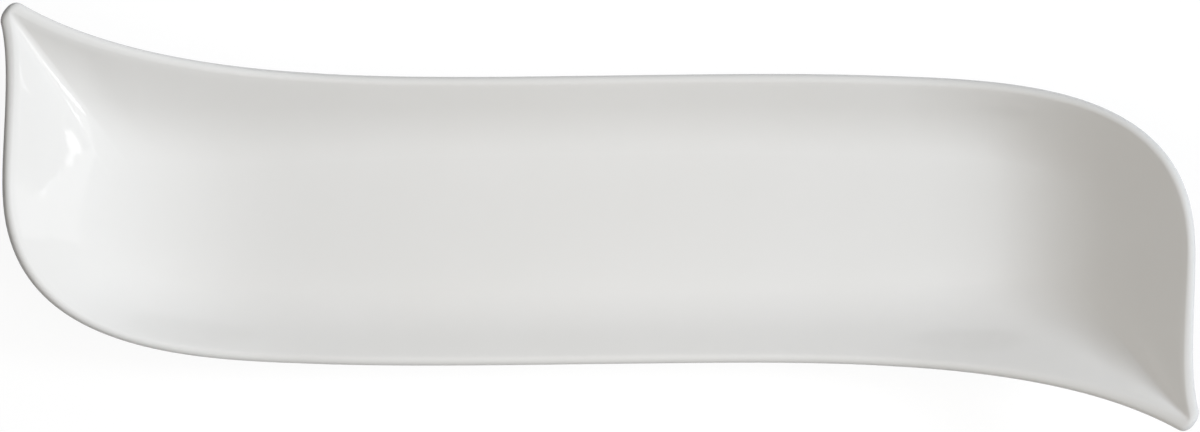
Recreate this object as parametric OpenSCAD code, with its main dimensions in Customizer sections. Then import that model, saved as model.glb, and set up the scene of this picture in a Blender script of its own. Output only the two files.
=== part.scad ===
// Asparagus plate: a long S-curved porcelain dish with coved walls, swept-up ends and two raised horns.
// The plate lies along X and stands on its foot ring at Z = 0. A half turn about Z maps it onto itself.

/* [Outline] */
// Length over the two ends
plate_l = 400; // [340:1:460]
// Width over the two horn tips
plate_w = 143; // [130:1:160]
// Width across the two long edges
trough_w = 98; // [88:1:108]

/* [Heights] */
// Height of the rim along the long edges
side_h = 21; // [18:0.5:27]
// Height of the rim at the middle of each end
end_h = 46; // [40:0.5:52]
// Height of the two horn tips
horn_h = 52; // [46:0.5:62]

/* [Dish] */
// Thickness of the porcelain under the well
floor_t = 4.5; // [3.5:0.1:6]
// Thickness of the porcelain at the rounded lip
lip_t = 3.4; // [2.4:0.1:4.2]
// Plan width of the coved wall along the long edges, from the rim in to the floor's edge
wall_run = 26; // [22:0.5:29]
// Plan width of the level strip between the floor's edge and the flat well
well_edge = 2; // [1.5:0.1:5]
// Length of the flat well
well_l = 204; // [150:1:230]

/* [Foot] */
// Height of the foot ring
foot_h = 3; // [2:0.1:5]
// Width of the foot ring
foot_w = 4; // [3:0.1:6]
// Rounding of the foot ring's two lower edges
foot_round = 1; // [0.4:0.1:1.4]

/* [Glaze] */
// Thickness of the glaze coat
glaze_t = 0.3; // [0.2:0.05:0.5]
// Dry line wiped clear of glaze on each side of the foot ring
dry_line = 0.3; // [0.2:0.05:0.6]

/* [Hidden] */
$fn = 64;
up = [0, 0, 1];

// Porcelain sizes, inside the glaze
half_l = plate_l / 2 - glaze_t;
half_trough = trough_w / 2 - glaze_t;
horn_reach = (plate_w - trough_w) / 2;
side_z = side_h - glaze_t;
end_z = end_h - glaze_t;
horn_z = horn_h - glaze_t;
lip_r = lip_t / 2;
floor_z = foot_h + floor_t;

// The flat well and the foot ring are long rounds about a spine line on the X axis
well_r = half_trough - wall_run - well_edge;
spine = well_l / 2 - well_r;
foot_r = well_r - dry_line;
recess_r = foot_r - foot_w - dry_line;

// Half of the rim as five cubic curves of three rows each; the half turn of the first row ends the last.
// Shares of: half length, half trough width, horn reach, rise to the end height, rise to the horn height
rim_shares = [
  // round the horn's tip, from its end side to its long side
  [-1.000, 1, 0.71, 0.06, 0.935],
  [-1.003, 1, 0.84, 0, 1],
  [-0.983, 1, 1.075, 0, 1.02],
  // down from the horn to the long edge
  [-0.966, 1, 0.985, 0, 0.97],
  [-0.844, 1, 0.36, 0, 0.64],
  [-0.662, 1, 0.12, 0, 0.23],
  // along the long edge
  [-0.500, 1.02, 0, 0, 0.10],
  [-0.250, 0.95, 0, 0, -0.09],
  [0.200, 1.05, 0, 0, 0],
  // round the broad corner
  [0.500, 1, 0, 0, 0],
  [0.733, 0.97, 0, 0, 0],
  [0.992, 0.88, 0, 0.78, 0],
  // along the end, out to the other horn
  [0.999, -0.15, 0, 1, 0],
  [1.002, -0.45, 0, 0.95, 0.09],
  [0.983, -1.03, 0, 0.50, 0.50],
];
// How far the lip's inner edge lies in from each row above, along X and Y, as shares of the lip's thickness
lip_shares = [
  [1.02, -0.06], [1.045, -0.06], [-0.30, -1.18],
  [-0.30, -1.15], [-0.30, -0.94], [-0.02, -0.84],
  [0, -0.82], [0, -0.80], [0, -0.80],
  [0, -0.82], [-0.14, -0.92], [-0.92, -0.58],
  [-0.80, 0], [-0.84, 0.03], [-0.895, 0.03],
];
// How far the floor's edge lies in from each row, along X and Y, as shares of the wall's run
floor_shares = [
  [1.37, -2.03], [1.40, -2.12], [1.38, -2.15],
  [1.32, -2.07], [0.865, -1.51], [0.03, -1.22],
  [0.03, -1.105], [0.02, -0.885], [0, -1],
  [-0.03, -1], [-0.36, -0.97], [-1.20, -0.86],
  [-1.30, 0.15], [-1.335, 0.45], [-1.22, 1.59],
];
// Share of the wall that is coved at each row; the rest flares straight up to the lip
cove_shares = [
  0.5, 0.5, 0.5,
  0.5, 0.5, 0.7,
  0.7, 0.7, 0.7,
  0.7, 0.7, 0.7,
  0.7, 0.7, 0.6,
];
// Share of the end's height that comes from the floor sweeping up under it
sweep_share = 0.97;
// Least share of the lip's reach that its round keeps where the wall is steep
reach_share = 0.2;

// Mesh counts: steps along each of the five curves, and across sweep, wall and lip
rim_steps = [6, 10, 6, 13, 8];
sweep_steps = 4;
wall_steps = 5;
lip_steps = 5;

// Small vector helpers
function plan(v) = [v[0], v[1], 0];
function unit(v) = v / norm(v);
function half_turn(v) = [-v[0], -v[1], v[2]];

// Points that the curves of the rim, the lip's inner edge, the floor's edge and the cove are drawn through
function set_in(shares, size) = [for (i = [0 : len(rim_knots) - 1])
  plan(rim_knots[i]) + size * [shares[i][0], shares[i][1], 0]];
rim_knots = [for (s = rim_shares) [
  s[0] * half_l,
  s[1] * half_trough + s[2] * horn_reach,
  side_z + s[3] * (end_z - side_z) + s[4] * (horn_z - side_z)
]];
lip_knots = set_in(lip_shares, lip_t);
floor_knots = set_in(floor_shares, wall_run);
cove_knots = [for (s = cove_shares) s * up];

// Point at t on curve j of a row of knots
function curve_knots(knots, j) = [
  knots[3 * j],
  knots[3 * j + 1],
  knots[3 * j + 2],
  3 * j + 3 < len(knots) ? knots[3 * j + 3] : half_turn(knots[0])
];
function curve(knots, j, t) =
  let (p = curve_knots(knots, j), u = 1 - t)
  u^3 * p[0] + 3 * u^2 * t * p[1] + 3 * u * t^2 * p[2] + t^3 * p[3];

// Floor height above the well: level, then ever steeper from the well's end to the wall, then straight
sweep_from = well_l / 2;
sweep_to = half_l - wall_run;
sweep_slope = sweep_share * (end_z - floor_z) / ((sweep_to - sweep_from) / 3 + half_l - sweep_to);
function sweep_part(x) = min(1, max(0, (abs(x) - sweep_from) / (sweep_to - sweep_from)));
function sweep_tilt(x) = sign(x) * sweep_slope * sweep_part(x)^2;
function sweep_z(x) =
  floor_z + sweep_slope * (
    sweep_part(x)^3 * (sweep_to - sweep_from) / 3
    + max(0, abs(x) - sweep_to)
  );

// Rise of the wall at share q of its run, 0 at the floor's edge to 1 at the lip
function wall_rise(q, cove) = q < cove
  ? q^2 / (cove * (2 - cove))
  : (2 * q - cove) / (2 - cove);

// Lip at t on curve j: its centre, the two axes of its round (square to the wall, and up it),
// the lip's inner edge and the floor's edge
function lip_frame(j, t) =
  let (
    rim = curve(rim_knots, j, t),
    inner = curve(lip_knots, j, t),
    floor_edge = curve(floor_knots, j, t),
    cove = curve(cove_knots, j, t)[2],
    run = inner - floor_edge,
    outward = unit(run),
    rise = rim[2] - lip_r - sweep_z(inner[0]),
    lean = atan(rise * 2 / (2 - cove) / norm(run) + sweep_tilt(inner[0]) * outward[0]),
    square = cos(lean) * up - sin(lean) * outward,
    edge = inner + (rim[2] - lip_r * (1 - cos(lean))) * up,
    centre = edge - lip_r * square,
    reach = plan(rim - centre),
    set_back = lip_r * sin(lean) / norm(reach),
    upward = reach * sqrt(max(reach_share, 1 - set_back^2)) + lip_r * sin(lean) * up
  )
  [centre, square, upward, edge, floor_edge];

// Upper face at t on curve j, from the flat well out to the lip
function upper_face(j, t) =
  let (
    lip = lip_frame(j, t),
    edge = lip[3],
    floor_edge = lip[4],
    cove = curve(cove_knots, j, t)[2],
    middle = [min(spine, max(-spine, floor_edge[0])), 0, 0],
    well = middle + well_r * unit(floor_edge - middle),
    run = plan(edge) - floor_edge,
    wall_h = edge[2] - sweep_z(edge[0]),
    sweep = [for (k = [0 : sweep_steps - 1]) [well + (floor_edge - well) * k / sweep_steps, 0]],
    wall = [for (k = [0 : wall_steps])
      [floor_edge + run * k / wall_steps, wall_h * wall_rise(k / wall_steps, cove)]]
  )
  [for (p = concat(sweep, wall)) [p[0][0], p[0][1], sweep_z(p[0][0]) + p[1]]];

// Stations round the rim, and the upper face and the lip at each of them
half_stations = [for (j = [0 : len(rim_steps) - 1]) for (i = [0 : rim_steps[j] - 1]) [j, i / rim_steps[j]]];
half_faces = [for (s = half_stations) upper_face(s[0], s[1])];
half_lips = [for (s = half_stations) lip_frame(s[0], s[1])];
faces = concat(half_faces, [for (f = half_faces) [for (p = f) half_turn(p)]]);
lips = concat(half_lips, [for (f = half_lips) [for (p = f) half_turn(p)]]);
station_count = len(faces);
face_count = len(faces[0]);

// Square direction off the upper face at station i, row k
function face_up(i, k) =
  k == 0 ? up :
  k == face_count - 1 ? lips[i][1] :
  let (
    along = faces[(i + 1) % station_count][k] - faces[(i + station_count - 1) % station_count][k],
    outward = faces[i][k + 1] - faces[i][k - 1]
  )
  unit(cross(along, outward));

// Thickness of the porcelain at row k: full under the floor, thinning up the wall to the lip
function thickness(k) = floor_t + (lip_t - floor_t) * max(0, k - sweep_steps) / wall_steps;

// One slice of the porcelain's skin: pairs of a point and the direction out of the porcelain there,
// from the flat well over the lip and back to the underside
function skin_slice(i) =
  let (ups = [for (k = [0 : face_count - 1]) face_up(i, k)])
  concat(
    [for (k = [0 : face_count - 1]) [faces[i][k], ups[k]]],
    [for (m = [1 : lip_steps - 1])
      let (
        turn = 180 * m / lip_steps,
        square = lip_r * cos(turn) * lips[i][1],
        upward = sin(turn) * lips[i][2],
        stretch = norm(lips[i][2]) / lip_r
      )
      [lips[i][0] + square + upward, unit(square * stretch + upward / stretch)]],
    [for (k = [face_count - 1 : -1 : 0]) [faces[i][k] - thickness(k) * ups[k], -ups[k]]]
  );
skin = [for (i = [0 : station_count - 1]) skin_slice(i)];
slice_count = len(skin[0]);
body_points = [for (slice = skin) for (p = slice) p[0]];
coat_points = [for (slice = skin) for (p = slice) p[0] + glaze_t * p[1]];

// Triangles of the skin, and the two flats that close it; first is the index of its first point
function at(i, k, first) = first + (i % station_count) * slice_count + k;
function quad(a, b, c, d) = [[a, d, c], [a, c, b]];
function skin_triangles(first) = [
  for (i = [0 : station_count - 1]) for (k = [0 : slice_count - 2])
    each quad(at(i, k, first), at(i + 1, k, first), at(i + 1, k + 1, first), at(i, k + 1, first))
];
function well_flat(first) = [for (i = [0 : station_count - 1]) at(i, 0, first)];
function base_flat(first) = [for (i = [station_count - 1 : -1 : 0]) at(i, slice_count - 1, first)];
function flipped(f) = [for (k = [len(f) - 1 : -1 : 0]) f[k]];

// Cast porcelain: well, swept ends, coved wall, horns and rounded lip in one shell
module porcelain_body() {
  color("ivory")
    polyhedron(body_points, concat(skin_triangles(0), [well_flat(0), base_flat(0)]), convexity = 8);
}

// White glaze over the whole dish, round the lip and down the outside to the dry line
module glaze() {
  inner = len(coat_points);
  last = slice_count - 1;
  dry_edge = [for (i = [0 : station_count - 1])
    each quad(at(i, last, 0), at(i + 1, last, 0), at(i + 1, last, inner), at(i, last, inner))];
  backing = [for (f = concat(skin_triangles(inner), [well_flat(inner)])) flipped(f)];
  color("white")
    polyhedron(
      concat(coat_points, body_points),
      concat(skin_triangles(0), [well_flat(0)], dry_edge, backing),
      convexity = 10
    );
}

// Long round about the spine, with the given radius
module long_round(r) {
  square([2 * spine, 2 * r], center = true);
  for (side = [-1, 1])
    translate([side * spine, 0])
      circle(r);
}

// Section of the foot ring, measured out from the spine, with rounded lower edges
module foot_section() {
  translate([foot_r - foot_w, foot_round])
    square([foot_w, foot_h - foot_round]);
  translate([foot_r - foot_w + foot_round, 0])
    square([foot_w - 2 * foot_round, foot_h]);
  for (r = [foot_r - foot_w + foot_round, foot_r - foot_round])
    translate([r, foot_round])
      circle(foot_round);
}

// Foot ring: two straight runs and two half rounds, bare of glaze, that the plate stands on
module foot_ring() {
  color("antiquewhite")
    for (turn = [0, 180])
      rotate(turn) {
        translate([spine, 0])
          rotate(-90)
            rotate_extrude(angle = 180)
              foot_section();
        translate([-spine, 0])
          rotate([90, 0, 90])
            linear_extrude(2 * spine)
              foot_section();
      }
}

// Glaze on the underside inside the foot ring
module recess_glaze() {
  color("white")
    translate([0, 0, foot_h - glaze_t])
      linear_extrude(glaze_t)
        long_round(recess_r);
}

porcelain_body();
foot_ring();
glaze();
recess_glaze();
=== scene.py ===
import math

import bpy
import numpy as np
from bpy.props import FloatProperty, FloatVectorProperty, PointerProperty
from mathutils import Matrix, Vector


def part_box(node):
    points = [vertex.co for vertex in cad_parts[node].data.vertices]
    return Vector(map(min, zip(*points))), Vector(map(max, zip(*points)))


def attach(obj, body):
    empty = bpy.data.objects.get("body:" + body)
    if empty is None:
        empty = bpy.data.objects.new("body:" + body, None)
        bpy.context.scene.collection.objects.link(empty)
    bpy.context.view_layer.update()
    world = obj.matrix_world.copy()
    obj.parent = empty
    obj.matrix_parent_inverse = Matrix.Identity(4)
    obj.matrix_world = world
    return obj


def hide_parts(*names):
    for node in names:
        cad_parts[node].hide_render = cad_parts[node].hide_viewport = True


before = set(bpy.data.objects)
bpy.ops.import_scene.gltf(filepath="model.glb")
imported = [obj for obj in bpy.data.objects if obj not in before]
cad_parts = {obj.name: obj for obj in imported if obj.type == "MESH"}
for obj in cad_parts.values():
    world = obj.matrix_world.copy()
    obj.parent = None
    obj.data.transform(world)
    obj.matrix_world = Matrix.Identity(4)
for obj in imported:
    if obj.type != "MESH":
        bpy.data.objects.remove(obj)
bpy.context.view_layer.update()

bl_info = {
    "name": "Asparagus plate",
    "version": (1, 0, 0),
    "blender": (4, 5, 0),
    "location": "View3D > Sidebar > Plate",
    "description": "Dresses an S-curved porcelain asparagus plate and lights it on a plain stage",
    "category": "Object",
}

MM = 0.001
UP = np.array([0.0, 0.0, 1.0])

# The photograph's frame, and where the plate's outline meets it, in its own pixels
PHOTO_W, PHOTO_H = 1200, 432
OUTLINE_LEFT, OUTLINE_RIGHT = 0.5, 1198.8
OUTLINE_TOP, OUTLINE_BOTTOM = 3.0, 430.5

# Half of the rim as five cubic curves, three rows each, as in the solid; a half turn gives the rest.
# Shares of: half length, half trough width, horn reach, rise to the end height, rise to the horn height
RIM_SHARES = np.array([
    # round the horn's tip, from its end side to its long side
    (-1.000, 1, 0.71, 0.06, 0.935),
    (-1.003, 1, 0.84, 0, 1),
    (-0.983, 1, 1.075, 0, 1.02),
    # down from the horn to the long edge
    (-0.966, 1, 0.985, 0, 0.97),
    (-0.844, 1, 0.36, 0, 0.64),
    (-0.662, 1, 0.12, 0, 0.23),
    # along the long edge
    (-0.500, 1.02, 0, 0, 0.10),
    (-0.250, 0.95, 0, 0, -0.09),
    (0.200, 1.05, 0, 0, 0),
    # round the broad corner
    (0.500, 1, 0, 0, 0),
    (0.733, 0.97, 0, 0, 0),
    (0.992, 0.88, 0, 0.78, 0),
    # along the end, out to the other horn
    (0.999, -0.15, 0, 1, 0),
    (1.002, -0.45, 0, 0.95, 0.09),
    (0.983, -1.03, 0, 0.50, 0.50),
])
# How far the lip's inner edge lies in from each row above, along X and Y,
# as shares of the lip's thickness
LIP_SHARES = np.array([
    (1.02, -0.06), (1.045, -0.06), (-0.30, -1.18),
    (-0.30, -1.15), (-0.30, -0.94), (-0.02, -0.84),
    (0, -0.82), (0, -0.80), (0, -0.80),
    (0, -0.82), (-0.14, -0.92), (-0.92, -0.58),
    (-0.80, 0), (-0.84, 0.03), (-0.895, 0.03),
])
# How far the floor's edge lies in from each row, along X and Y, as shares of the wall's run,
# and the share of the wall that is coved; the rest flares straight up to the lip
FLOOR_SHARES = np.array([
    (1.37, -2.03, 0.5), (1.40, -2.12, 0.5), (1.38, -2.15, 0.5),
    (1.32, -2.07, 0.5), (0.865, -1.51, 0.5), (0.03, -1.22, 0.7),
    (0.03, -1.105, 0.7), (0.02, -0.885, 0.7), (0, -1, 0.7),
    (-0.03, -1, 0.7), (-0.36, -0.97, 0.7), (-1.20, -0.86, 0.7),
    (-1.30, 0.15, 0.7), (-1.335, 0.45, 0.7), (-1.22, 1.59, 0.6),
])
# Share of the end's height that comes from the floor sweeping up under it
SWEEP_SHARE = 0.97
# Least share of the lip's reach that its round keeps where the wall is steep
REACH_SHARE = 0.2

# Mesh counts: steps along each of the five rim curves, and across well, sweep, wall and lip
RIM_STEPS = (20, 36, 24, 44, 28)
WELL_STEPS = 6
SWEEP_STEPS = 12
WALL_STEPS = 18
LIP_STEPS = 14
WELL_CORE_SHARE = 0.08
# Faces that meet at more than this angle, in degrees, keep a sharp edge
SHARP_ANGLE = 50

# The glaze's slight unevenness as a few long waves: turns along X and Y in radians per mm, phase, part
RIPPLE_WAVES = (
    (0.043, 0.061, 0.4, 0.40),
    (-0.071, 0.034, 1.9, 0.30),
    (0.112, -0.093, 3.1, 0.18),
    (0.028, 0.155, 5.0, 0.12),
)

# Stage: half width of the floor in metres, and how the floor looks to rays that see it
FLOOR_HALF = 4.0
FLOOR_SHADE = 0.1
FLOOR_GLOW = 0.93
# Strength of the sky for rays that carry light and for rays that see it
SKY_FILL = 0.01
SKY_SEEN = 1.0
# Camera: azimuth and elevation in degrees, distance in metres, sensor width in mm
CAMERA_AZIMUTH, CAMERA_ELEVATION = -90, 88
CAMERA_DISTANCE = 1.6
SENSOR_WIDTH = 36.0


def linear(hex_colour):
    """Linear RGB of an sRGB hex colour such as 'EDEDEB'."""
    parts = [int(hex_colour[i:i + 2], 16) / 255 for i in (0, 2, 4)]
    return tuple(c / 12.92 if c <= 0.04045 else ((c + 0.055) / 1.055) ** 2.4 for c in parts)


def node_size(node):
    """Size of a CAD node along X, Y and Z, in metres."""
    low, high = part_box(node)
    return high - low


def length_prop(name, description, default):
    """A length in metres that the user may change."""
    return FloatProperty(
        name=name, description=description, default=default, min=0, unit="LENGTH", precision=4)


def colour_prop(name, description, hex_colour):
    """A colour that the user may change, given as sRGB hex."""
    return FloatVectorProperty(
        name=name, description=description, subtype="COLOR", size=3, min=0, max=1, default=linear(hex_colour))


class PlateSizes(bpy.types.PropertyGroup):
    """Sizes of the plate, the same as the solid's."""

    plate_l: length_prop("Length", "Length over the two ends", 400 * MM)
    plate_w: length_prop("Width", "Width over the two horn tips", 143 * MM)
    trough_w: length_prop("Trough width", "Width across the two long edges", 98 * MM)
    side_h: length_prop("Side height", "Height of the rim along the long edges", 21 * MM)
    end_h: length_prop("End height", "Height of the rim at the middle of each end", 46 * MM)
    horn_h: length_prop("Horn height", "Height of the two horn tips", 52 * MM)
    floor_t: length_prop("Floor", "Thickness of the porcelain under the well", 4.5 * MM)
    lip_t: length_prop("Lip", "Thickness of the porcelain at the rounded lip", 3.4 * MM)
    wall_run: length_prop("Wall run", "Plan width of the coved wall", 26 * MM)
    well_edge: length_prop("Well edge", "Level strip between the floor's edge and the flat well", 2 * MM)
    well_l: length_prop("Well length", "Length of the flat well", 204 * MM)
    foot_h: length_prop("Foot height", "Height of the foot ring", node_size("foot_ring").z)
    glaze_t: length_prop("Glaze", "Thickness of the glaze coat", node_size("recess_glaze").z)
    ripple: length_prop("Ripple", "Height of the unevenness that firing leaves in the glaze", 0.03 * MM)


class PlateColours(bpy.types.PropertyGroup):
    """Colours of the plate and its stage."""

    glaze: colour_prop("Glaze", "White glaze", "ECECEB")
    glaze_thin: colour_prop("Thin glaze", "Glaze where it runs thin", "E9E9E7")
    body: colour_prop("Porcelain", "Fired porcelain under the glaze", "E4E1DA")
    foot: colour_prop("Bare foot", "Ground, bare porcelain of the foot ring", "E2DED4")
    foot_mark: colour_prop("Foot marks", "Grey marks that table tops leave on the foot ring", "B9B5AC")
    floor: colour_prop("Floor", "Pale floor", "F0F0F0")


# Loft of the plate, worked out on arrays of stations round the rim

def plan(v):
    """v with its height taken out."""
    return v * np.array([1.0, 1.0, 0.0])


def unit(v):
    """v at length one."""
    return v / np.linalg.norm(v, axis=-1, keepdims=True)


def half_turned(v):
    """v turned half way round the Z axis."""
    return v * np.array([-1.0, -1.0, 1.0])


def set_in(knots, offsets):
    """Knots in plan, moved by the offsets along X and Y."""
    return plan(knots) + np.column_stack([offsets, np.zeros(len(offsets))])


def curve_chain(knots):
    """Points along five cubic curves through the knots, at the stations of half the rim."""
    closed = np.vstack([knots, half_turned(knots[:1])])
    points = []
    for j, steps in enumerate(RIM_STEPS):
        a, b, c, d = closed[3 * j:3 * j + 4]
        t = (np.arange(steps) / steps)[:, None]
        u = 1 - t
        points.append(u ** 3 * a + 3 * u ** 2 * t * b + 3 * u * t ** 2 * c + t ** 3 * d)
    return np.vstack(points)


class PlateLoft:
    """The porcelain's skin as arrays [station, row] of points and of directions out of the porcelain."""

    def __init__(self, sizes):
        self.s = sizes
        self.half_l = sizes.plate_l / 2 - sizes.glaze_t
        self.half_trough = sizes.trough_w / 2 - sizes.glaze_t
        self.lip_r = sizes.lip_t / 2
        self.floor_z = sizes.foot_h + sizes.floor_t
        self.well_r = self.half_trough - sizes.wall_run - sizes.well_edge
        self.spine = sizes.well_l / 2 - self.well_r
        self.sweep_from = sizes.well_l / 2
        self.sweep_to = self.half_l - sizes.wall_run
        end_rise = SWEEP_SHARE * (sizes.end_h - sizes.glaze_t - self.floor_z)
        self.sweep_slope = end_rise / ((self.sweep_to - self.sweep_from) / 3 + self.half_l - self.sweep_to)
        self.make_skin()

    def sweep_part(self, x):
        """How far along the floor's upward curve x lies, 0 to 1."""
        return np.clip((np.abs(x) - self.sweep_from) / (self.sweep_to - self.sweep_from), 0, 1)

    def sweep_z(self, x):
        """Height of the floor at x: level, then a cubic curve, then straight."""
        curved = self.sweep_part(x) ** 3 * (self.sweep_to - self.sweep_from) / 3
        return self.floor_z + self.sweep_slope * (curved + np.maximum(0, np.abs(x) - self.sweep_to))

    def wall_rise(self, q, cove):
        """Rise of the wall, 0 at the floor's edge to 1 at the lip: coved, then straight."""
        return np.where(q < cove, q ** 2 / (cove * (2 - cove)), (2 * q - cove) / (2 - cove))

    def make_skin(self):
        """Works out the rows from the well's middle over the lip to the underside."""
        s = self.s
        shares = RIM_SHARES
        side_z, end_z, horn_z = (h - s.glaze_t for h in (s.side_h, s.end_h, s.horn_h))
        rim_knots = np.column_stack([
            shares[:, 0] * self.half_l,
            shares[:, 1] * self.half_trough + shares[:, 2] * (s.plate_w - s.trough_w) / 2,
            side_z + shares[:, 3] * (end_z - side_z) + shares[:, 4] * (horn_z - side_z),
        ])
        rim = curve_chain(rim_knots)
        inner = curve_chain(set_in(rim_knots, s.lip_t * LIP_SHARES))
        floor_edge = curve_chain(set_in(rim_knots, s.wall_run * FLOOR_SHARES[:, :2]))
        cove = curve_chain(FLOOR_SHARES)[:, 2]

        # The lip: a round bead from its inner edge out to the rim, leaning with the wall
        run = inner - floor_edge
        run_l = np.linalg.norm(run, axis=1)
        outward = unit(run)
        rise = rim[:, 2] - self.lip_r - self.sweep_z(inner[:, 0])
        tilt = np.sign(inner[:, 0]) * self.sweep_slope * self.sweep_part(inner[:, 0]) ** 2
        lean = np.arctan(rise * 2 / (2 - cove) / run_l + tilt * outward[:, 0])[:, None]
        square = np.cos(lean) * UP - np.sin(lean) * outward
        edge = inner + UP * (rim[:, 2:] - self.lip_r * (1 - np.cos(lean)))
        centre = edge - self.lip_r * square
        reach = plan(rim - centre)
        set_back = self.lip_r * np.sin(lean) / np.linalg.norm(reach, axis=1, keepdims=True)
        kept = np.sqrt(np.maximum(REACH_SHARE, 1 - set_back ** 2))
        upward = reach * kept + self.lip_r * np.sin(lean) * UP

        # Upper face, row by row outwards: the flat well, the swept floor, the coved wall
        middle = floor_edge * 0
        middle[:, 0] = np.clip(floor_edge[:, 0], -self.spine, self.spine)
        well = middle + self.well_r * unit(floor_edge - middle)
        rows = []
        for q in np.linspace(WELL_CORE_SHARE, 1, WELL_STEPS, endpoint=False):
            rows.append(self.on_floor(middle + (well - middle) * q))
        for q in np.linspace(0, 1, SWEEP_STEPS, endpoint=False):
            rows.append(self.on_floor(well + (floor_edge - well) * q))
        wall_h = edge[:, 2] - self.sweep_z(edge[:, 0])
        for q in np.linspace(0, 1, WALL_STEPS + 1):
            row = self.on_floor(floor_edge + run * q)
            row[:, 2] += wall_h * self.wall_rise(q, cove)
            rows.append(row)
        face = np.stack(rows, axis=1)
        face = np.concatenate([face, half_turned(face)])
        centre, square, upward = (
            np.concatenate([v, half_turned(v)]) for v in (centre, square, upward))

        # Directions square to the face, then the lip's round and the underside, a thickness below
        along = np.roll(face, -1, axis=0) - np.roll(face, 1, axis=0)
        face_up = unit(np.cross(along, np.gradient(face, axis=1)))
        face_up[:, :WELL_STEPS + 1] = UP
        face_up[:, -1] = square
        rows_in = face.shape[1]
        first_wall = WELL_STEPS + SWEEP_STEPS
        up_wall = np.clip((np.arange(rows_in) - first_wall) / WALL_STEPS, 0, 1)
        thickness = s.floor_t + (s.lip_t - s.floor_t) * up_wall
        angles = np.pi * np.arange(1, LIP_STEPS) / LIP_STEPS
        cos_a, sin_a = np.cos(angles)[:, None], np.sin(angles)[:, None]
        square, upward = square[:, None, :], upward[:, None, :]
        lip = centre[:, None, :] + self.lip_r * cos_a * square + sin_a * upward
        stretch = np.linalg.norm(upward, axis=-1, keepdims=True) / self.lip_r
        lip_out = unit(stretch * cos_a * square + sin_a * unit(upward))
        under = (face - thickness[None, :, None] * face_up)[:, ::-1]
        self.points = np.concatenate([face, lip, under], axis=1)
        self.out = np.concatenate([face_up, lip_out, -face_up[:, ::-1]], axis=1)
        self.coat_rows = self.points.shape[1] - WELL_STEPS

    def on_floor(self, points):
        """Points lifted to the floor's height."""
        return np.column_stack([points[:, 0], points[:, 1], self.sweep_z(points[:, 0])])

    def ripple(self):
        """Slight unevenness of the fired glaze, -1 to 1, from a few long waves across the plate."""
        x, y = self.points[..., 0] / MM, self.points[..., 1] / MM
        return sum(part * np.sin(a * x + b * y + phase) for a, b, phase, part in RIPPLE_WAVES)


def strip_faces(stations, rows, first=0, flip=False):
    """Quads of a skin of stations by rows, closed round the stations."""
    i, k = np.meshgrid(np.arange(stations), np.arange(rows - 1), indexing="ij")
    j = (i + 1) % stations
    here, there = first + i * rows + k, first + j * rows + k
    corners = [here, there, there + 1, here + 1]
    if flip:
        corners.reverse()
    return np.stack(corners, axis=-1).reshape(-1, 4).tolist()


def ring_face(stations, rows, row, first=0, flip=False):
    """One face over a whole row of a skin, counted from the first station."""
    ring = [first + i * rows + row for i in range(stations)]
    return ring[::-1] if flip else ring


def new_piece(name, vertices, faces, material):
    """A smooth mesh object with one material, linked into the scene."""
    mesh = bpy.data.meshes.new(name)
    mesh.from_pydata([tuple(v) for v in vertices], [], faces)
    mesh.validate()
    mesh.shade_smooth()
    mesh.set_sharp_from_angle(angle=math.radians(SHARP_ANGLE))
    mesh.materials.append(material)
    piece = bpy.data.objects.new(name, mesh)
    bpy.context.scene.collection.objects.link(piece)
    return piece


# Materials

def add_node(tree, kind, settings=None, links=None):
    """Adds a node, sets its attributes or input values, and links its inputs from other nodes' outputs."""
    node = tree.nodes.new(kind)
    for key, value in (settings or {}).items():
        if isinstance(key, str) and hasattr(node, key):
            setattr(node, key, value)
        else:
            node.inputs[key].default_value = value
    for key, source in (links or {}).items():
        tree.links.new(source, node.inputs[key])
    return node


def new_material(name):
    """An empty node material with its output, as (material, tree, output)."""
    material = bpy.data.materials.new(name)
    material.use_nodes = True
    tree = material.node_tree
    tree.nodes.clear()
    return material, tree, tree.nodes.new("ShaderNodeOutputMaterial")


def per_mm(size_mm):
    """Texture scale, in waves per metre, for a pattern of that size in millimetres."""
    return 1000 / size_mm


def glaze_material(colours):
    """Glossy white feldspar glaze, fired over porcelain.

    A clear glassy coat gives the eye sharp, faint reflections over an even white. It runs a little thin in
    places, and a shallow waviness breaks up the edges of what it mirrors.
    """
    material, tree, output = new_material("glossy_white_glaze")
    place = add_node(tree, "ShaderNodeTexCoord").outputs["Object"]
    flow = add_node(tree, "ShaderNodeTexNoise", {"Scale": per_mm(45), "Detail": 3.0, "Roughness": 0.55},
                    {"Vector": place})
    tint = add_node(tree, "ShaderNodeMix", {"data_type": "RGBA"}, {0: flow.outputs["Fac"]})
    tint.inputs[6].default_value = (*colours.glaze_thin, 1)
    tint.inputs[7].default_value = (*colours.glaze, 1)
    gloss = add_node(tree, "ShaderNodeMapRange", {1: 0.3, 2: 0.7, 3: 0.03, 4: 0.06},
                     {0: flow.outputs["Fac"]})
    peel = add_node(tree, "ShaderNodeTexNoise", {"Scale": per_mm(8), "Detail": 1.0}, {"Vector": place})
    bump = add_node(tree, "ShaderNodeBump", {"Strength": 0.15, "Distance": 0.25 * MM},
                    {"Height": peel.outputs["Fac"]})
    shader = add_node(tree, "ShaderNodeBsdfPrincipled", {"IOR": 1.5},
                      {"Base Color": tint.outputs[2], "Roughness": gloss.outputs[0],
                       "Normal": bump.outputs[0]})
    tree.links.new(shader.outputs[0], output.inputs["Surface"])
    return material


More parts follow.
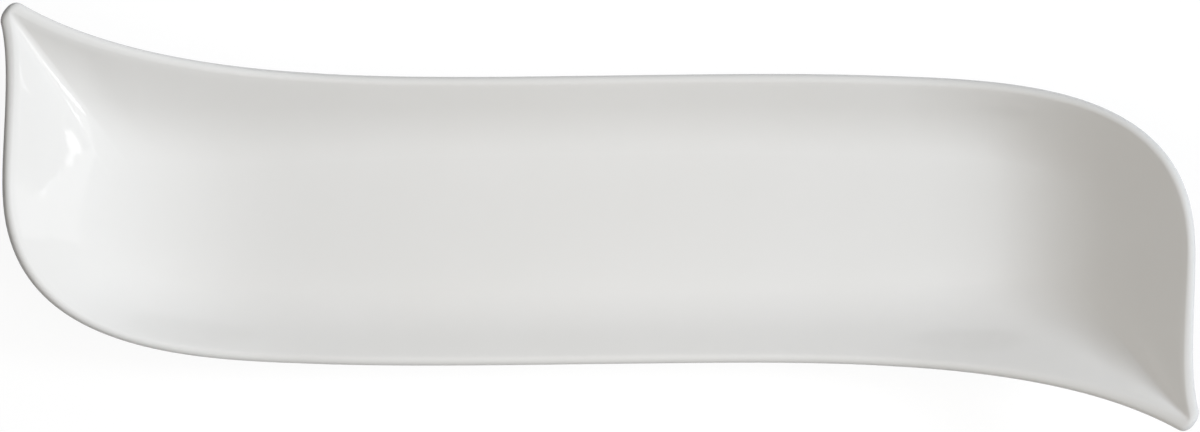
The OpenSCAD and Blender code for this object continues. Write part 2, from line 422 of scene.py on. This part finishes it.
def porcelain_material(colours):
    """Cast and fired porcelain under the glaze: a dense, faintly grained off-white."""
    material, tree, output = new_material("fired_porcelain_body")
    place = add_node(tree, "ShaderNodeTexCoord").outputs["Object"]
    # Real grain is finer than this and would not show; it is drawn coarser so that it can
    grain = add_node(tree, "ShaderNodeTexNoise", {"Scale": per_mm(0.8), "Detail": 4.0}, {"Vector": place})
    bump = add_node(tree, "ShaderNodeBump", {"Strength": 0.3, "Distance": 0.02 * MM},
                    {"Height": grain.outputs["Fac"]})
    shader = add_node(tree, "ShaderNodeBsdfPrincipled",
                      {"Base Color": (*colours.body, 1), "Roughness": 0.65, "IOR": 1.5},
                      {"Normal": bump.outputs[0]})
    tree.links.new(shader.outputs[0], output.inputs["Surface"])
    return material


def foot_material(colours):
    """Bare porcelain ground smooth: matt, slightly sandy, with grey marks from table tops."""
    material, tree, output = new_material("bare_ground_porcelain")
    place = add_node(tree, "ShaderNodeTexCoord").outputs["Object"]
    marks = add_node(tree, "ShaderNodeTexNoise", {"Scale": per_mm(14), "Detail": 6.0, "Roughness": 0.7},
                     {"Vector": place})
    worn = add_node(tree, "ShaderNodeMapRange", {1: 0.55, 2: 0.8, 3: 0.0, 4: 0.6},
                    {0: marks.outputs["Fac"]})
    tint = add_node(tree, "ShaderNodeMix", {"data_type": "RGBA"}, {0: worn.outputs[0]})
    tint.inputs[6].default_value = (*colours.foot, 1)
    tint.inputs[7].default_value = (*colours.foot_mark, 1)
    # Real grit is finer than this and would not show; it is drawn coarser so that it can
    grit = add_node(tree, "ShaderNodeTexNoise", {"Scale": per_mm(0.5), "Detail": 3.0}, {"Vector": place})
    bump = add_node(tree, "ShaderNodeBump", {"Strength": 0.5, "Distance": 0.03 * MM},
                    {"Height": grit.outputs["Fac"]})
    shader = add_node(tree, "ShaderNodeBsdfPrincipled", {"Roughness": 0.75, "IOR": 1.5},
                      {"Base Color": tint.outputs[2], "Normal": bump.outputs[0]})
    tree.links.new(shader.outputs[0], output.inputs["Surface"])
    return material


def seen_directly(tree):
    """One for rays from the camera, from gloss and through glass, zero for those that only carry light."""
    path = add_node(tree, "ShaderNodeLightPath")
    mirror = add_node(tree, "ShaderNodeMath", {"operation": "MAXIMUM"},
                      {0: path.outputs["Is Camera Ray"], 1: path.outputs["Is Glossy Ray"]})
    either = add_node(tree, "ShaderNodeMath", {"operation": "MAXIMUM"},
                      {0: mirror.outputs[0], 1: path.outputs["Is Transmission Ray"]})
    return either.outputs[0]


def floor_material(colours):
    """Pale matt floor that looks white and keeps a soft shadow."""
    material, tree, output = new_material("pale_matt_floor")
    matt = add_node(tree, "ShaderNodeBsdfDiffuse", {"Color": (*colours.floor, 1)})
    shade = add_node(tree, "ShaderNodeBsdfDiffuse", {"Color": (FLOOR_SHADE, FLOOR_SHADE, FLOOR_SHADE, 1)})
    glow = add_node(tree, "ShaderNodeEmission", {"Strength": FLOOR_GLOW})
    seen = add_node(tree, "ShaderNodeAddShader", None, {0: shade.outputs[0], 1: glow.outputs[0]})
    mix = add_node(tree, "ShaderNodeMixShader", None,
                   {0: seen_directly(tree), 1: matt.outputs[0], 2: seen.outputs[0]})
    tree.links.new(mix.outputs[0], output.inputs["Surface"])
    return material


# Operators, one for each piece and one for the stage

class PLATE_OT_porcelain_shell(bpy.types.Operator):
    """Lofts the porcelain shell that the glaze covers."""

    bl_idname = "plate.porcelain_shell"
    bl_label = "Porcelain shell"

    def execute(self, context):
        loft = PlateLoft(context.scene.plate_sizes)
        stations, rows, _ = loft.points.shape
        faces = strip_faces(stations, rows)
        faces.append(ring_face(stations, rows, 0, flip=True))
        faces.append(ring_face(stations, rows, rows - 1))
        material = porcelain_material(context.scene.plate_colours)
        piece = new_piece("porcelain_shell", loft.points.reshape(-1, 3), faces, material)
        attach(piece, "root")
        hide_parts("porcelain_body")
        return {"FINISHED"}


class PLATE_OT_glaze_coat(bpy.types.Operator):
    """Lofts the glaze coat over the dish, round the lip and down to the dry line."""

    bl_idname = "plate.glaze_coat"
    bl_label = "Glaze coat"

    def execute(self, context):
        sizes = context.scene.plate_sizes
        loft = PlateLoft(sizes)
        rows = loft.coat_rows
        thickness = sizes.glaze_t - sizes.ripple * (1 + loft.ripple())
        coat = (loft.points + thickness[..., None] * loft.out)[:, :rows]
        backing = loft.points[:, :rows]
        stations = len(coat)
        inner = stations * rows
        faces = strip_faces(stations, rows)
        faces.append(ring_face(stations, rows, 0, flip=True))
        faces += strip_faces(stations, rows, inner, flip=True)
        faces.append(ring_face(stations, rows, 0, inner))
        last = rows - 1
        for i in range(stations):
            j = (i + 1) % stations
            here, there = i * rows + last, j * rows + last
            faces.append([here, there, inner + there, inner + here])
        material = glaze_material(context.scene.plate_colours)
        vertices = np.concatenate([coat.reshape(-1, 3), backing.reshape(-1, 3)])
        piece = new_piece("glaze_coat", vertices, faces, material)
        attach(piece, "root")
        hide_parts("glaze")
        return {"FINISHED"}


class PLATE_OT_foot(bpy.types.Operator):
    """Finishes the bare foot ring and the glaze inside it."""

    bl_idname = "plate.foot"
    bl_label = "Foot and recess"

    def execute(self, context):
        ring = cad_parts["foot_ring"]
        ring.data.materials.clear()
        ring.data.materials.append(foot_material(context.scene.plate_colours))
        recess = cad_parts["recess_glaze"]
        recess.data.materials.clear()
        recess.data.materials.append(bpy.data.materials["glossy_white_glaze"])
        return {"FINISHED"}


class PLATE_OT_stage(bpy.types.Operator):
    """Adds the floor, the lamps, the sky and the camera."""

    bl_idname = "plate.stage"
    bl_label = "Stage"

    def execute(self, context):
        self.add_floor(context)
        self.add_lamps()
        self.add_sky(context)
        self.add_camera(context)
        context.scene.view_settings.view_transform = "Standard"
        return {"FINISHED"}

    def add_floor(self, context):
        mesh = bpy.data.meshes.new("floor")
        half = FLOOR_HALF
        corners = [(-half, -half, 0), (half, -half, 0), (half, half, 0), (-half, half, 0)]
        mesh.from_pydata(corners, [], [(0, 1, 2, 3)])
        mesh.materials.append(floor_material(context.scene.plate_colours))
        floor = bpy.data.objects.new("floor", mesh)
        context.scene.collection.objects.link(floor)

    def add_lamps(self):
        # A cool window low on the right and a warm softbox overhead give the light
        add_area("key_light", azimuth=8, elevation=36, distance=3.2, width=0.8, height=0.8,
                 power=70, hex_colour="F3F8FF", use="light")
        add_area("overhead_softbox", azimuth=-90, elevation=84, distance=0.42, width=0.3, height=0.3,
                 power=0.97, hex_colour="FFFAF3", use="light")
        # Bright panes on the right that the left end mirrors: along its crease, beside it, over its foot
        add_area("right_strip", azimuth=-14, elevation=20, distance=1.5, width=0.33, height=0.17,
                 power=0.75, hex_colour="FFFFFF", use="reflection")
        add_area("right_glint", azimuth=-1.75, elevation=14.5, distance=1.5, width=0.045, height=0.115,
                 power=0.06, hex_colour="FFFFFF", use="reflection")
        add_area("right_panel", azimuth=0, elevation=19.4, distance=1.5, width=0.3, height=0.13,
                 power=0.1, hex_colour="FFFFFF", use="reflection")

    def add_sky(self, context):
        world = bpy.data.worlds.new("soft_sky")
        context.scene.world = world
        world.use_nodes = True
        tree = world.node_tree
        tree.nodes.clear()
        output = tree.nodes.new("ShaderNodeOutputWorld")
        fill = add_node(tree, "ShaderNodeBackground",
                        {"Color": (*linear("FFFAF2"), 1), "Strength": SKY_FILL})
        seen = add_node(tree, "ShaderNodeBackground", {"Color": (1, 1, 1, 1), "Strength": SKY_SEEN})
        sky = add_node(tree, "ShaderNodeMixShader", None,
                       {0: seen_directly(tree), 1: fill.outputs[0], 2: seen.outputs[0]})
        tree.links.new(sky.outputs[0], output.inputs["Surface"])

    def add_camera(self, context):
        data = bpy.data.cameras.new("camera")
        data.sensor_fit = "HORIZONTAL"
        data.sensor_width = SENSOR_WIDTH
        camera = bpy.data.objects.new("camera", data)
        context.scene.collection.objects.link(camera)
        context.scene.camera = camera
        sizes = context.scene.plate_sizes
        target = Vector((0, 0, sizes.side_h))
        camera.location = target + from_angles(CAMERA_AZIMUTH, CAMERA_ELEVATION) * CAMERA_DISTANCE
        camera.rotation_euler = (target - camera.location).to_track_quat("-Z", "Y").to_euler()
        context.view_layer.update()
        frame_outline(camera, bpy.data.objects["glaze_coat"])


def from_angles(azimuth, elevation):
    """Direction to a place at that azimuth from +X and elevation above the floor, in degrees."""
    a, e = math.radians(azimuth), math.radians(elevation)
    return Vector((math.cos(e) * math.cos(a), math.cos(e) * math.sin(a), math.sin(e)))


def add_area(name, azimuth, elevation, distance, width, height, power, hex_colour, use):
    """A rectangular lamp aimed at the plate, used for its light or for its reflection in the glaze."""
    data = bpy.data.lights.new(name, "AREA")
    data.shape = "RECTANGLE"
    data.size = width
    data.size_y = height
    data.energy = power
    data.color = linear(hex_colour)
    lamp = bpy.data.objects.new(name, data)
    lamp.location = from_angles(azimuth, elevation) * distance
    lamp.rotation_euler = (-lamp.location).to_track_quat("-Z", "Y").to_euler()
    lamp.visible_diffuse = use == "light"
    lamp.visible_glossy = use == "reflection"
    lamp.visible_camera = False
    bpy.context.scene.collection.objects.link(lamp)


def frame_outline(camera, piece):
    """Sets the lens and shift so that the piece's outline meets the photograph's frame where it should."""
    points = np.array([v.co for v in piece.data.vertices])
    view = np.array(camera.matrix_world.inverted())
    seen = points @ view[:3, :3].T + view[:3, 3]
    x = seen[:, 0] / -seen[:, 2]
    y = seen[:, 1] / -seen[:, 2]
    width_share = (OUTLINE_RIGHT - OUTLINE_LEFT) / PHOTO_W
    data = camera.data
    data.lens = width_share * data.sensor_width / (x.max() - x.min())
    per_tangent = PHOTO_W * data.lens / data.sensor_width
    middle_x = (OUTLINE_LEFT + OUTLINE_RIGHT) / 2 - PHOTO_W / 2
    middle_y = PHOTO_H / 2 - (OUTLINE_TOP + OUTLINE_BOTTOM) / 2
    data.shift_x = ((x.max() + x.min()) / 2 * per_tangent - middle_x) / PHOTO_W
    data.shift_y = ((y.max() + y.min()) / 2 * per_tangent - middle_y) / PHOTO_W


class PLATE_PT_panel(bpy.types.Panel):
    """Lists the plate's sizes, colours and operators."""

    bl_idname = "PLATE_PT_panel"
    bl_label = "Asparagus plate"
    bl_space_type = "VIEW_3D"
    bl_region_type = "UI"
    bl_category = "Plate"

    def draw(self, context):
        for group in (context.scene.plate_sizes, context.scene.plate_colours):
            column = self.layout.column(align=True)
            for name in group.__annotations__:
                column.prop(group, name)
        for operator in OPERATORS:
            self.layout.operator(operator.bl_idname)


OPERATORS = (PLATE_OT_porcelain_shell, PLATE_OT_glaze_coat, PLATE_OT_foot, PLATE_OT_stage)
CLASSES = (PlateSizes, PlateColours, *OPERATORS, PLATE_PT_panel)


def register():
    for cls in CLASSES:
        bpy.utils.register_class(cls)
    bpy.types.Scene.plate_sizes = PointerProperty(type=PlateSizes)
    bpy.types.Scene.plate_colours = PointerProperty(type=PlateColours)


def unregister():
    del bpy.types.Scene.plate_colours
    del bpy.types.Scene.plate_sizes
    for cls in reversed(CLASSES):
        bpy.utils.unregister_class(cls)


def main():
    register()
    bpy.ops.plate.porcelain_shell()
    bpy.ops.plate.glaze_coat()
    bpy.ops.plate.foot()
    bpy.ops.plate.stage()


if __name__ == "__main__":
    main()
